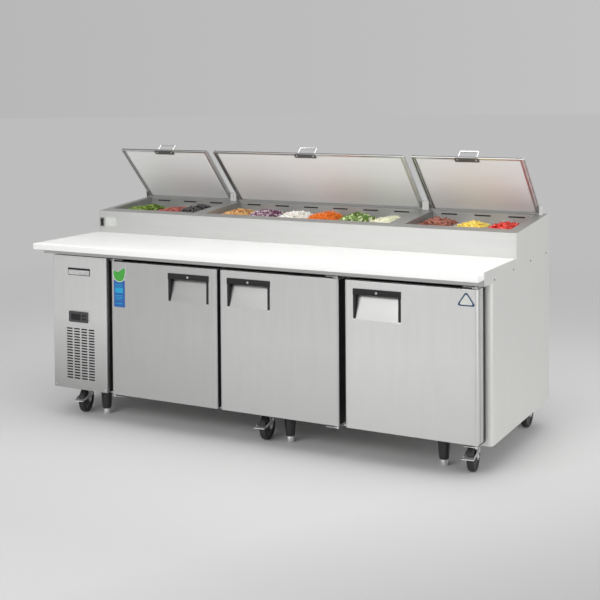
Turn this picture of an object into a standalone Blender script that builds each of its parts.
"""Refrigerated sandwich prep table, three doors, twelve one-third food pans.

Frame: X to the right of someone facing the front, Y to the back, Z up, origin on the floor
under the middle. Metres. The lids stand open, everything else is closed.
"""
import math

import bmesh
import bpy
from mathutils import Matrix, Vector

# ---- overall envelope ----
HALF_W = 1.1825                  # half the overall width
Y_BOARD, Y_DOOR, Y_CAB = -0.506, -0.428, -0.334   # board edge, door fronts, cabinet face
Y_RAIL, Y_BACK = 0.008, 0.506    # front of the raised rail, back of the cabinet
Z_BASE, Z_MOUNT = 0.1295, 0.150   # lower edge of the skirt, underside the casters bolt to
Z_DOOR = (0.155, 0.813)
Z_NOSE, Z_COUNTER, Z_BOARD = 0.829, 0.8567, 0.887
Z_SHOULDER, Z_RAIL_F, Z_RAIL_B = 0.889, 1.000, 1.040
GAP = 0.0003                     # kept between pieces that touch
SHEET = 0.002                    # side panel sheet
CORNER = 0.020                   # radius of the cabinet's front corners
STILE = 0.030                    # width of the side panel's front return

# ---- doors ----
DOOR_T, GASKET_T = 0.072, 0.0232
DOORS = (                        # name, x range, hinge side, door opening's x range
    ("left", (-0.757, -0.141), -1, (-0.727, -0.171)),
    ("centre", (-0.124, 0.498), 1, (-0.094, 0.468)),
    ("right", (0.530, 1.151), 1, (0.560, 1.118)),
)
HINGE_IN, HINGE_BACK = 0.010, 0.012   # door pivot, in from the edge and back from the front
PULL_W, PULL_IN, PULL_Z = 0.229, 0.0435, (0.642, 0.752, 0.778)
PULL_DEEP = 0.030

# ---- pan rail ----
PITCH, PAN_Y, PAN_Z = 0.1765, 0.267, 0.9843
WELLS = ((-1.1465, -0.615, 3), (-0.547, 0.514, 6), (0.596, 1.1275, 3))   # x range, pans
WELL_Y, LEDGE_Y = (0.090, 0.444), (0.112, 0.422)
PAN_RIM, PAN_BODY, PAN_DEPTH = (0.0870, 0.1625), (0.0765, 0.1500), 0.149
LIDS = (("left", -1.177, -0.608), ("centre", -0.570, 0.541), ("right", 0.577, 1.152))
LID_AXIS = (0.452, 1.073)        # y, z of the lid pivots
LID_LEN, LID_TAIL = 0.346, 0.035      # how far a lid reaches before and behind its pivot
LID_OPEN, LID_Z = 47.0, (-0.009, 0.001)   # degrees above the horizontal, thickness range

# ---- storage space and machine space ----
CAVITY = ((-0.745, 1.120), (-0.290, 0.445), (0.190, 0.800))
MACHINE = ((-1.150, -0.790), (-0.350, 0.470), (0.165, 0.740))
COVER = ((-1.1225, -0.7855), (0.155, 0.825))
SHELF_Z, SHELVES = 0.465, ((-0.738, -0.140), (-0.125, 0.505), (0.520, 1.113))
LOUVRE_X = (-1.037, -0.991, -0.945, -0.899)
LOUVRE_W, LOUVRE_H, LOUVRE_Z0, LOUVRE_STEP, LOUVRE_ROWS = 0.036, 0.007, 0.2065, 0.0138, 19
FAN = (-0.970, -0.165, 0.330)

# ---- running gear ----
WHEEL_R, TRAIL = 0.0635, 0.035
CASTERS = (                      # name, swivel x, y, turn in degrees, brake pedal
    ("front_left", -1.043, -0.253, 15.0, True),
    ("front_centre", 0.044, -0.253, 7.0, True),
    ("front_right", 1.076, -0.253, 6.0, True),
    ("rear_left", -1.090, 0.400, 180.0, False),
    ("rear_centre", 0.044, 0.400, 180.0, False),
    ("rear_right", 1.090, 0.400, 180.0, False),
)
PEDAL_AXIS = (-0.020, 0.088)     # local y, z of the brake pedal's pivot
LEGS = (("left", -0.909), ("centre", 0.167), ("right", 0.940))
LEG_Y = -0.278

STEEL = (0.62, 0.62, 0.60, 1.0)
BLACK = (0.02, 0.02, 0.02, 1.0)


# ---- mesh builders ----
def solid(verts, faces):
    """A mesh of the given points and faces, with every normal facing out."""
    bm = bmesh.new()
    points = [bm.verts.new(v) for v in verts]
    for face in faces:
        bm.faces.new([points[i] for i in face])
    bmesh.ops.recalc_face_normals(bm, faces=bm.faces)
    mesh = bpy.data.meshes.new("solid")
    bm.to_mesh(mesh)
    bm.free()
    return mesh


def boxes(*spans):
    """One mesh of separate boxes, each given as its x, y and z range."""
    verts, faces = [], []
    for (x0, x1), (y0, y1), (z0, z1) in spans:
        n = len(verts)
        verts += [(x, y, z) for z in (z0, z1) for x, y in ((x0, y0), (x1, y0), (x1, y1), (x0, y1))]
        faces += [tuple(n + i for i in f) for f in
                  ((3, 2, 1, 0), (4, 5, 6, 7), (0, 1, 5, 4), (1, 2, 6, 5), (2, 3, 7, 6), (3, 0, 4, 7))]
    return solid(verts, faces)


def prism(outline, axis, low, high):
    """The outline pushed along X (points are y, z) or Z (points are x, y)."""
    n = len(outline)
    verts = [(a, b, h) if axis == "Z" else (h, a, b) for h in (low, high) for a, b in outline]
    faces = [tuple(range(n)), tuple(range(2 * n - 1, n - 1, -1))]
    faces += [(i, (i + 1) % n, n + (i + 1) % n, n + i) for i in range(n)]
    return solid(verts, faces)


def lathe(profile, axis="Z", segments=24):
    """The closed (radius, height) profile turned about Z, X or Y."""
    verts, rings = [], []
    for r, h in profile:
        if r == 0:
            rings.append([len(verts)] * segments)
            verts.append((0.0, 0.0, h))
            continue
        rings.append(list(range(len(verts), len(verts) + segments)))
        verts += [(r * math.cos(2 * math.pi * i / segments),
                   r * math.sin(2 * math.pi * i / segments), h) for i in range(segments)]
    turn = {"Z": lambda v: v, "X": lambda v: (v[2], v[0], v[1]), "Y": lambda v: (v[1], v[2], v[0])}
    faces = []
    for a, b in zip(rings, rings[1:] + rings[:1]):
        for i in range(segments):
            j = (i + 1) % segments
            face = list(dict.fromkeys((a[i], a[j], b[j], b[i])))
            if len(face) > 2:
                faces.append(face)
    return solid([turn[axis](v) for v in verts], faces)


def moved(mesh, offset, turn=None):
    """The mesh after a turn matrix and then an offset."""
    mesh.transform(Matrix.Translation(Vector(offset)) @ (turn or Matrix.Identity(4)))
    return mesh


def combine(base, *steps):
    """The base mesh after each (operation, mesh) Boolean step, as one new mesh."""
    body = bpy.data.objects.new("base", base)
    tools = []
    bpy.context.scene.collection.objects.link(body)
    for operation, mesh in steps:
        tool = bpy.data.objects.new("tool", mesh)
        bpy.context.scene.collection.objects.link(tool)
        modifier = body.modifiers.new(operation, "BOOLEAN")
        modifier.operation, modifier.object, modifier.solver = operation, tool, "EXACT"
        tools.append(tool)
    graph = bpy.context.evaluated_depsgraph_get()
    graph.update()
    result = bpy.data.meshes.new_from_object(body.evaluated_get(graph))
    for obj in (body, *tools):
        bpy.data.objects.remove(obj, do_unlink=True)
    return result


CUT, JOIN = "DIFFERENCE", "UNION"


def add(name, mesh, look, origin=(0.0, 0.0, 0.0), turn=(0.0, 0.0, 0.0), local=False, smooth=False):
    """A named piece. Its origin is the joint axis; a local mesh is already about that origin."""
    if not local:
        mesh.transform(Matrix.Translation(-Vector(origin)))
    color, rough, metal = look
    material = bpy.data.materials.new(name)
    material.use_nodes = True
    shader = material.node_tree.nodes["Principled BSDF"]
    shader.inputs["Base Color"].default_value = color
    shader.inputs["Roughness"].default_value = rough
    shader.inputs["Metallic"].default_value = metal
    obj = bpy.data.objects.new(name, mesh)
    obj.location, obj.rotation_euler = origin, [math.radians(a) for a in turn]
    bpy.context.scene.collection.objects.link(obj)
    if not mesh.materials:
        mesh.materials.append(None)
    obj.material_slots[0].link = "OBJECT"
    obj.material_slots[0].material = material
    if smooth:
        for face in mesh.polygons:
            face.use_smooth = True
        mesh.set_sharp_from_angle(angle=math.radians(35))
    return obj


STAINLESS, DARK, RUBBER = (STEEL, 0.30, 1.0), (BLACK, 0.35, 0.0), (BLACK, 0.8, 0.0)
POLY, ZINC = ((0.90, 0.90, 0.88, 1.0), 0.45, 0.0), ((0.70, 0.70, 0.72, 1.0), 0.35, 1.0)
COPPER, WIRE = ((0.55, 0.30, 0.20, 1.0), 0.4, 1.0), ((0.80, 0.80, 0.80, 1.0), 0.4, 0.3)


def rounded_front(x0, x1, y0, y1, r, steps=4):
    """Plan outline of a box whose two front corners are rounded."""
    left = [(x0 + r - r * math.cos(a), y0 + r - r * math.sin(a))
            for a in (math.pi / 2 * i / steps for i in range(steps + 1))]
    right = [(x0 + x1 - x, y) for x, y in reversed(left)]
    return left + right + [(x1, y1), (x0, y1)]


# ---- cabinet ----
def hinge_x(x_range, side):
    return x_range[1] - HINGE_IN if side > 0 else x_range[0] + HINGE_IN


def cabinet_body():
    inner = HALF_W - SHEET - GAP
    face = Y_CAB + SHEET + GAP
    shell = prism(rounded_front(-inner, inner, face, Y_BACK, CORNER - SHEET - GAP), "Z",
                  Z_BASE, Z_COUNTER)
    nose = boxes(((-inner, inner), (Y_DOOR, Y_CAB + 0.060), (Z_NOSE, Z_COUNTER)))
    recess = boxes(((-inner + 0.02, inner - 0.02), (face + 0.012, Y_BACK - 0.012), (0.10, Z_MOUNT)))
    mouths = boxes(*[(opening, (Y_CAB - 0.01, -0.282), (CAVITY[2][0], 0.783))
                     for _, _, _, opening in DOORS])
    trough = boxes(((WELLS[0][0], WELLS[2][1]), (0.095, CAVITY[1][1]), (0.815, 0.870)))
    throat = boxes(((-0.700, 1.100), (0.120, 0.420), (0.790, 0.822)))
    ledges = boxes(((-0.750, 1.125), (0.428, 0.450), (SHELF_Z - 0.010, SHELF_Z)),
                   *[((x0, x1), (-0.300, -0.255), (SHELF_Z - 0.010, SHELF_Z))
                     for x0, x1 in ((-0.760, -0.715), (-0.1625, -0.1025), (0.4825, 0.5450),
                                    (1.090, 1.130))])
    brackets = []
    for _, x_range, side, _ in DOORS:
        x = hinge_x(x_range, side)
        y = Y_DOOR + HINGE_BACK
        for low, high, boss in ((0.8165, 0.8205, (Z_DOOR[1] + 0.0005, 0.8185)),
                                (0.1465, 0.1505, (0.1485, Z_DOOR[0] - 0.0005))):
            brackets.append(boxes(((x - 0.014, x + 0.0095), (y - 0.009, face + 0.02), (low, high))))
            brackets.append(moved(lathe([(0, boss[0]), (0.006, boss[0]), (0.006, boss[1]),
                                         (0, boss[1])], segments=12), (x, y, 0)))
    steps = [(JOIN, nose), (CUT, recess), (CUT, boxes(CAVITY)), (CUT, mouths), (CUT, boxes(MACHINE)),
             (CUT, trough), (CUT, throat), (JOIN, ledges)] + [(JOIN, b) for b in brackets]
    return combine(shell, *steps)


def side_panel(side):
    """A folded sheet: the stepped side, a rounded front corner and a narrow return on the face."""
    bend = Y_CAB + CORNER
    outline = [(bend, Z_BASE), (Y_BACK, Z_BASE), (Y_BACK, Z_RAIL_B), (Y_RAIL, Z_RAIL_F),
               (Y_RAIL, Z_SHOULDER), (Y_DOOR, Z_SHOULDER), (Y_DOOR, Z_NOSE), (bend, Z_NOSE)]
    steps = 5
    arc = [math.pi / 2 * i / steps for i in range(1, steps + 1)]
    verts, faces = [], []
    for t in (0.0, SHEET):
        r = CORNER - t
        plan = [(HALF_W - CORNER + r * math.cos(a), bend - r * math.sin(a)) for a in arc]
        plan.append((HALF_W - STILE, Y_CAB + t))
        verts += [(HALF_W - t, y, z) for y, z in outline]
        verts += [(x, y, z) for x, y in plan for z in (Z_BASE, Z_NOSE)]
    n, m = len(outline), len(verts) // 2
    strips = [(0, n - 1)] + [(n + 2 * i, n + 2 * i + 1) for i in range(steps + 1)]
    faces += [tuple(range(n)), tuple(range(m + n - 1, m - 1, -1))]
    for (a, b), (c, d) in zip(strips, strips[1:]):
        faces += [(a, b, d, c), (m + c, m + d, m + b, m + a), (a, c, m + c, m + a), (b, m + b, m + d, d)]
    faces += [(i, i + 1, m + i + 1, m + i) for i in range(n - 1)]
    a, b = strips[-1]
    faces.append((a, m + a, m + b, b))
    return solid([(side * x, y, z) for x, y, z in verts], faces)


def rail_housing():
    inner = HALF_W - SHEET - GAP
    z0 = Z_COUNTER + GAP
    body = prism([(Y_RAIL, z0), (Y_BACK, z0), (Y_BACK, Z_RAIL_B), (Y_RAIL, Z_RAIL_F)], "X",
                 -inner, inner)
    wells = boxes(*[((x0, x1), WELL_Y, (PAN_Z - GAP, 1.2)) for x0, x1, _ in WELLS])
    wells_low = boxes(*[((x0, x1), LEDGE_Y, (0.8, PAN_Z)) for x0, x1, _ in WELLS])
    slots = boxes(*[((x - 0.0425, x + 0.0425), (WELL_Y[1] - 0.01, WELL_Y[1] + 0.012), (1.017, 1.0245))
                    for x in pan_centres()])
    pocket = boxes(((-1.1633, -1.1437), (Y_RAIL - 0.01, Y_RAIL + 0.022), (0.9203, 0.9597)))
    y, z = LID_AXIS
    hinge = [(y - 0.006, 1.030), (y + 0.020, 1.030), (y + 0.018, 1.050), (y + 0.011, z + 0.006),
             (y + 0.005, z + 0.011), (y - 0.005, z + 0.011), (y - 0.011, z + 0.005), (y - 0.011, z - 0.010)]
    ears = []
    for x0, x1 in [(a, b) for _, a, b in LIDS]:
        for low in (x0 - 0.0030, x1 + 0.0005):
            ears.append((JOIN, prism(hinge, "X", low, low + 0.0025)))
    return combine(body, (CUT, wells), (CUT, wells_low), (CUT, slots), (CUT, pocket), *ears)


def pan_centres():
    return [(x0 + x1) / 2 + PITCH * (i - (n - 1) / 2) for x0, x1, n in WELLS for i in range(n)]


def cutting_board():
    step, side = Y_DOOR - 0.0008, HALF_W - SHEET - 0.0015
    half = [(HALF_W, Y_BOARD), (HALF_W, step), (side, step), (side, Y_RAIL - 0.0008)]
    return prism(half + [(-x, y) for x, y in reversed(half)], "Z", Z_COUNTER + GAP, Z_BOARD)


def machine_cover():
    (x0, x1), (z0, z1) = COVER
    rear = Y_CAB + 0.0015
    shell = prism(rounded_front(x0, x1, Y_DOOR, rear, 0.006, 3), "Z", z0, z1)
    hollow = boxes(((x0 + 0.0015, x1 - 0.0015), (Y_DOOR + 0.0015, rear + 0.01),
                    (z0 + 0.0015, z1 - 0.0015)))
    slots = [((x, x + LOUVRE_W), (Y_DOOR - 0.01, Y_DOOR + 0.01),
              (LOUVRE_Z0 + i * LOUVRE_STEP, LOUVRE_Z0 + i * LOUVRE_STEP + LOUVRE_H))
             for x in LOUVRE_X for i in range(LOUVRE_ROWS)]
    slots.append(((-1.0125, -0.9085), (Y_DOOR - 0.01, Y_DOOR + 0.01), (0.4985, 0.5415)))
    return combine(shell, (CUT, hollow), (CUT, boxes(*slots)))


def display():
    return combine(boxes(((-1.019, -0.902), (Y_DOOR - 0.0040, Y_DOOR - GAP), (0.493, 0.547))),
                   (JOIN, boxes(((-1.012, -0.909), (Y_DOOR - 0.0010, Y_DOOR + 0.043), (0.499, 0.541)))))


# ---- doors ----
def pull_x(x_range, side):
    """X range of the recessed pull, at the door's free edge."""
    if side > 0:
        return x_range[0] + PULL_IN, x_range[0] + PULL_IN + PULL_W
    return x_range[1] - PULL_IN - PULL_W, x_range[1] - PULL_IN


def door(x_range, side):
    x0, x1 = pull_x(x_range, side)
    low, mid, top = PULL_Z
    back = Y_DOOR + PULL_DEEP
    slab = prism(rounded_front(*x_range, Y_DOOR, Y_DOOR + DOOR_T, 0.012, 4), "Z", *Z_DOOR)
    wedge = prism([(Y_DOOR - 0.02, low - 0.0008), (Y_DOOR - GAP, low - 0.0008), (back, mid),
                   (back, top + GAP), (Y_DOOR - 0.02, top + GAP)], "X", x0 - GAP, x1 + GAP)
    return combine(slab, (CUT, wedge))


def door_pull(x_range, side):
    x0, x1 = pull_x(x_range, side)
    low, mid, top = PULL_Z
    back = Y_DOOR + PULL_DEEP - 0.0006
    frame = prism([(Y_DOOR - 0.0055, top), (Y_DOOR - 0.0055, mid), (Y_DOOR - 0.0010, mid - 0.004),
                   (Y_DOOR - 0.0010, low + 0.002), (back, mid + 0.001), (back, top)], "X", x0, x1)
    grip = prism([(Y_DOOR + 0.0065, top - 0.012), (Y_DOOR + 0.0065, mid), (Y_DOOR - 0.02, mid),
                  (Y_DOOR - 0.02, low - 0.02), (Y_DOOR + 0.05, low - 0.02), (Y_DOOR + 0.05, top - 0.012)],
                 "X", x0 + 0.012, x1 - 0.012)
    return combine(frame, (CUT, grip))


def gasket(x_range):
    x0, x1 = x_range[0] + 0.008, x_range[1] - 0.008
    z0, z1 = Z_DOOR[0] + 0.008, Z_DOOR[1] - 0.008
    y0 = Y_DOOR + DOOR_T + GAP
    ring = boxes(((x0, x1), (y0, y0 + GASKET_T), (z0, z1)))
    hole = boxes(((x0 + 0.018, x1 - 0.018), (y0 - 0.01, y0 + 0.05), (z0 + 0.018, z1 - 0.018)))
    return combine(ring, (CUT, hole))


# ---- pans and lids ----
def ring_points(half_x, half_y, r, z):
    pts = []
    for cx, cy, a0 in ((1, 1, 0), (-1, 1, 90), (-1, -1, 180), (1, -1, 270)):
        for i in range(4):
            a = math.radians(a0 + 30 * i)
            pts.append((cx * (half_x - r) + r * math.cos(a), cy * (half_y - r) + r * math.sin(a), z))
    return pts


def pan():
    """A thin tapered tub with a flat rim, its origin under the middle of the rim."""
    (rx, ry), (bx, by) = PAN_RIM, PAN_BODY
    t, taper = 0.0012, 0.010
    rings = [ring_points(bx - taper, by - taper, 0.020, -PAN_DEPTH),
             ring_points(bx, by, 0.024, 0.0),
             ring_points(rx, ry, 0.014, 0.0),
             ring_points(rx, ry, 0.014, 0.002),
             ring_points(bx - t, by - t, 0.023, 0.002),
             ring_points(bx - taper - t, by - taper - t, 0.019, t - PAN_DEPTH)]
    n = len(rings[0])
    verts = [v for ring in rings for v in ring]
    faces = [tuple(range(n)), tuple(range(5 * n, 6 * n))]
    for k in range(len(rings) - 1):
        faces += [(k * n + i, k * n + (i + 1) % n, (k + 1) * n + (i + 1) % n, (k + 1) * n + i)
                  for i in range(n)]
    return solid(verts, faces)


def bar(p0, p1, r, segments=10):
    """A round bar between two points."""
    a, b = Vector(p0), Vector(p1)
    mesh = lathe([(0, 0), (r, 0), (r, (b - a).length), (0, (b - a).length)], segments=segments)
    turn = (b - a).to_track_quat("Z", "Y").to_matrix().to_4x4()
    return moved(mesh, a, turn)


def lid(x0, x1):
    """The lid about its pivot, lying level and reaching to the front; its handle is on top."""
    mid, (low, top) = (x0 + x1) / 2, LID_Z
    plate = boxes(((x0, x1), (-LID_LEN, LID_TAIL), LID_Z))
    recess = boxes(((x0 + 0.022, x1 - 0.022), (-LID_LEN + 0.010, LID_TAIL - 0.003), (-0.02, top - 0.0025)))
    barrels = [(JOIN, lathe([(0, a), (0.0075, a), (0.0075, a + 0.014), (0, a + 0.014)], "X", 16))
               for a in (x0, x1 - 0.014)]
    y, z, half = -LID_LEN + 0.012, 0.046, 0.0475
    posts = [(JOIN, bar((x, y, top - 0.0015), (x, y, z), 0.004)) for x in (mid - half, mid + half)]
    grip = bar((mid - half - 0.003, y, z), (mid + half + 0.003, y, z), 0.0045)
    return combine(plate, (CUT, recess), *barrels, *posts, (JOIN, grip))


def shelf(x0, x1):
    """A grid shelf: two rows of long openings leave the frame and the cross wires."""
    n, edge, wire = 11, 0.008, 0.006
    step = (x1 - x0 - 2 * edge + wire) / n
    plate = boxes(((x0, x1), (-0.277, 0.443), (SHELF_Z + GAP, SHELF_Z + 0.0065)))
    starts = [x0 + edge + i * step for i in range(n)]
    holes = boxes(*[((x, x + step - wire), rows, (SHELF_Z - 0.01, SHELF_Z + 0.02))
                    for x in starts for rows in ((-0.269, 0.079), (0.085, 0.435))])
    return combine(plate, (CUT, holes))


# ---- running gear ----
def caster_fork():
    """Plate, swivel head, fork and axle about the swivel axis, with the floor at z = 0."""
    y = -TRAIL
    plate = boxes(((-0.0475, 0.0475), (-0.040, 0.040), (Z_MOUNT - 0.0043, Z_MOUNT - GAP)))
    head = lathe([(0, 0.134), (0.024, 0.134), (0.029, 0.138), (0.029, 0.147), (0, 0.147)], segments=20)
    crown = boxes(((-0.0220, 0.0220), (-0.048, 0.026), (0.1305, 0.1360)))
    cheek = [(0.026, 0.1330), (-0.048, 0.1330), (-0.053, 0.080), (-0.044, 0.050), (-0.026, 0.050),
             (-0.014, 0.080)]
    axle = moved(lathe([(0, -0.027), (0.009, -0.027), (0.009, -0.0215), (0.0045, -0.0215),
                        (0.0045, 0.0215), (0.009, 0.0215), (0.009, 0.027), (0, 0.027)], "X", 16),
                 (0, y, WHEEL_R))
    return combine(plate, (JOIN, head), (JOIN, crown), (JOIN, prism(cheek, "X", 0.0190, 0.0220)),
                   (JOIN, prism(cheek, "X", -0.0220, -0.0190)), (JOIN, axle))


def wheel():
    half = [(0.0048, 0.0155), (0.018, 0.0155), (0.021, 0.0110), (0.044, 0.0110), (0.048, 0.0160),
            (0.058, 0.0160), (0.0618, 0.0140), (WHEEL_R, 0.0100)]
    return lathe([(r, -h) for r, h in half] + [(r, h) for r, h in reversed(half)], "X", 24)


def pedal():
    """Brake pedal about its pivot: two arms outside the fork and a tread past the wheel."""
    py, pz = PEDAL_AXIS
    arm = [(0.010, 0.008), (-0.012, 0.010), (-0.086, -0.004), (-0.086, -0.013), (-0.012, -0.010),
           (0.010, -0.008)]
    tread = boxes(((-0.0265, 0.0265), (-0.116, -0.084), (-0.0125, -0.0085)))
    return combine(tread, (JOIN, prism(arm, "X", 0.0226, 0.0250)),
                   (JOIN, prism(arm, "X", -0.0250, -0.0226)))


def leg():
    return lathe([(0, Z_MOUNT - GAP), (0.0345, Z_MOUNT - GAP), (0.0345, 0.113), (0.0330, 0.111),
                  (0.0275, 0.109), (0.0213, 0.033), (0.0200, 0.031), (0.0182, 0.031), (0.0182, 0.108),
                  (0, 0.108)], segments=24)


def foot():
    return lathe([(0, 0.080), (0.0178, 0.080), (0.0178, 0.010), (0.0190, 0.008), (0.0190, 0.003),
                  (0.0175, 0.0015), (0, 0.0015)], segments=24)


# ---- refrigeration ----
def compressor():
    dome = lathe([(0, 0.180), (0.085, 0.185), (0.090, 0.205), (0.090, 0.300), (0.078, 0.345),
                  (0.045, 0.368), (0, 0.372)], segments=24)
    base = boxes(((-0.115, 0.115), (-0.085, 0.085), (MACHINE[2][0] + GAP, 0.185)))
    box = boxes(((0.070, 0.110), (-0.030, 0.030), (0.235, 0.290)))
    return moved(combine(dome, (JOIN, base), (JOIN, box)), (-0.970, 0.200, 0))


def condenser():
    """Finned coil block with the fan motor held behind it on two straps."""
    x0, x1, z0, z1 = -1.120, -0.820, MACHINE[2][0] + GAP, 0.505
    coil = boxes(((x0, x1), (-0.270, -0.200), (z0, z1)))
    fins = boxes(*[((x0 + 0.012, x1 - 0.012), (-0.29, -0.225), (z, z + 0.0045))
                   for z in (z0 + 0.012 + 0.009 * i for i in range(35))])
    motor = moved(lathe([(0, -0.140), (0.036, -0.140), (0.040, -0.130), (0.040, -0.085), (0.030, -0.070),
                         (0, -0.070)], "Y", 20), (FAN[0], 0, FAN[2]))
    straps = boxes(((x0, x0 + 0.004), (-0.210, -0.108), (FAN[2] - 0.014, FAN[2] + 0.014)),
                   ((x1 - 0.004, x1), (-0.210, -0.108), (FAN[2] - 0.014, FAN[2] + 0.014)))
    cross = boxes(((x0, x1), (-0.112, -0.108), (FAN[2] - 0.014, FAN[2] + 0.014)))
    return combine(coil, (CUT, fins), (JOIN, straps), (JOIN, cross), (JOIN, motor))


def fan_blade():
    """Hub and four pitched blades about the fan axis, which runs along Y."""
    hub = lathe([(0, -0.012), (0.022, -0.012), (0.026, -0.006), (0.026, 0.012), (0, 0.012)], "Y", 20)
    blades = []
    for i in range(4):
        blade = boxes(((-0.034, 0.034), (-0.0012, 0.0012), (0.020, 0.118)))
        tilt = Matrix.Rotation(math.radians(90 * i), 4, "Y") @ Matrix.Rotation(math.radians(14), 4, "Z")
        blades.append((JOIN, moved(blade, (0, 0, 0), tilt)))
    return combine(hub, *blades)


def evaporator():
    x0, x1, z0, z1 = -0.350, 0.750, 0.700, 0.788
    block = boxes(((x0, x1), (0.365, CAVITY[1][1] - GAP), (z0, z1)))
    fins = boxes(*[((x, x + 0.014), (0.35, 0.425), (z0 + 0.010, z1 - 0.010))
                   for x in (x0 + 0.020 + 0.0265 * i for i in range(40))])
    return combine(block, (CUT, fins))


def build():
    for obj in list(bpy.data.objects):
        bpy.data.objects.remove(obj, do_unlink=True)
    add("cabinet_body", cabinet_body(), STAINLESS)
    add("rail_housing", rail_housing(), STAINLESS)
    add("left_side_panel", side_panel(-1), STAINLESS, smooth=True)
    add("right_side_panel", side_panel(1), STAINLESS, smooth=True)
    add("cutting_board", cutting_board(), POLY)
    add("machine_cover", machine_cover(), STAINLESS)
    add("temperature_display", display(), DARK)
    rocker = [(-0.0045, 0.0172), (-0.0010, 0.0), (-0.0045, -0.0172), (0.012, -0.0120), (0.012, 0.0120)]
    add("power_switch", prism(rocker, "X", -0.0090, 0.0090), DARK, (-1.1535, Y_RAIL, 0.940),
        (7.0, 0, 0), local=True)
    for name, x_range, side, _ in DOORS:
        pivot = (hinge_x(x_range, side), Y_DOOR + HINGE_BACK, Z_DOOR[0])
        add(f"{name}_door", door(x_range, side), STAINLESS, pivot, smooth=True)
        add(f"{name}_door_gasket", gasket(x_range), RUBBER, pivot)
        add(f"{name}_door_pull", door_pull(x_range, side), DARK, pivot)
    for name, x0, x1 in LIDS:
        add(f"{name}_lid", lid(x0, x1), STAINLESS, (0, *LID_AXIS), (-LID_OPEN, 0, 0), local=True)
    for i, x in enumerate(pan_centres()):
        add(f"pan_{i + 1:02d}", pan(), STAINLESS, (x, PAN_Y, PAN_Z), local=True, smooth=True)
    for i, (x0, x1) in enumerate(SHELVES):
        add(f"{DOORS[i][0]}_shelf", shelf(x0, x1), WIRE, ((x0 + x1) / 2, 0.083, SHELF_Z))
    for name, x, y, turn, brake in CASTERS:
        heading = Matrix.Rotation(math.radians(turn), 4, "Z")
        hub = Vector((x, y, WHEEL_R)) + heading @ Vector((0, -TRAIL, 0))
        add(f"{name}_caster_fork", caster_fork(), ZINC, (x, y, 0), (0, 0, turn), local=True)
        add(f"{name}_wheel", wheel(), RUBBER, hub, (0, 0, turn), local=True, smooth=True)
        if brake:
            pivot = Vector((x, y, 0)) + heading @ Vector((0, *PEDAL_AXIS))
            add(f"{name}_brake_pedal", pedal(), ZINC, pivot, (0, 0, turn), local=True)
    for name, x in LEGS:
        add(f"{name}_leg", leg(), DARK, (x, LEG_Y, 0), local=True, smooth=True)
        add(f"{name}_leg_foot", foot(), ZINC, (x, LEG_Y, 0), local=True, smooth=True)
    add("compressor", compressor(), DARK, smooth=True)
    add("condenser_coil", condenser(), COPPER)
    add("fan_blade", fan_blade(), DARK, FAN, local=True)
    add("evaporator_coil", evaporator(), ZINC)


build()
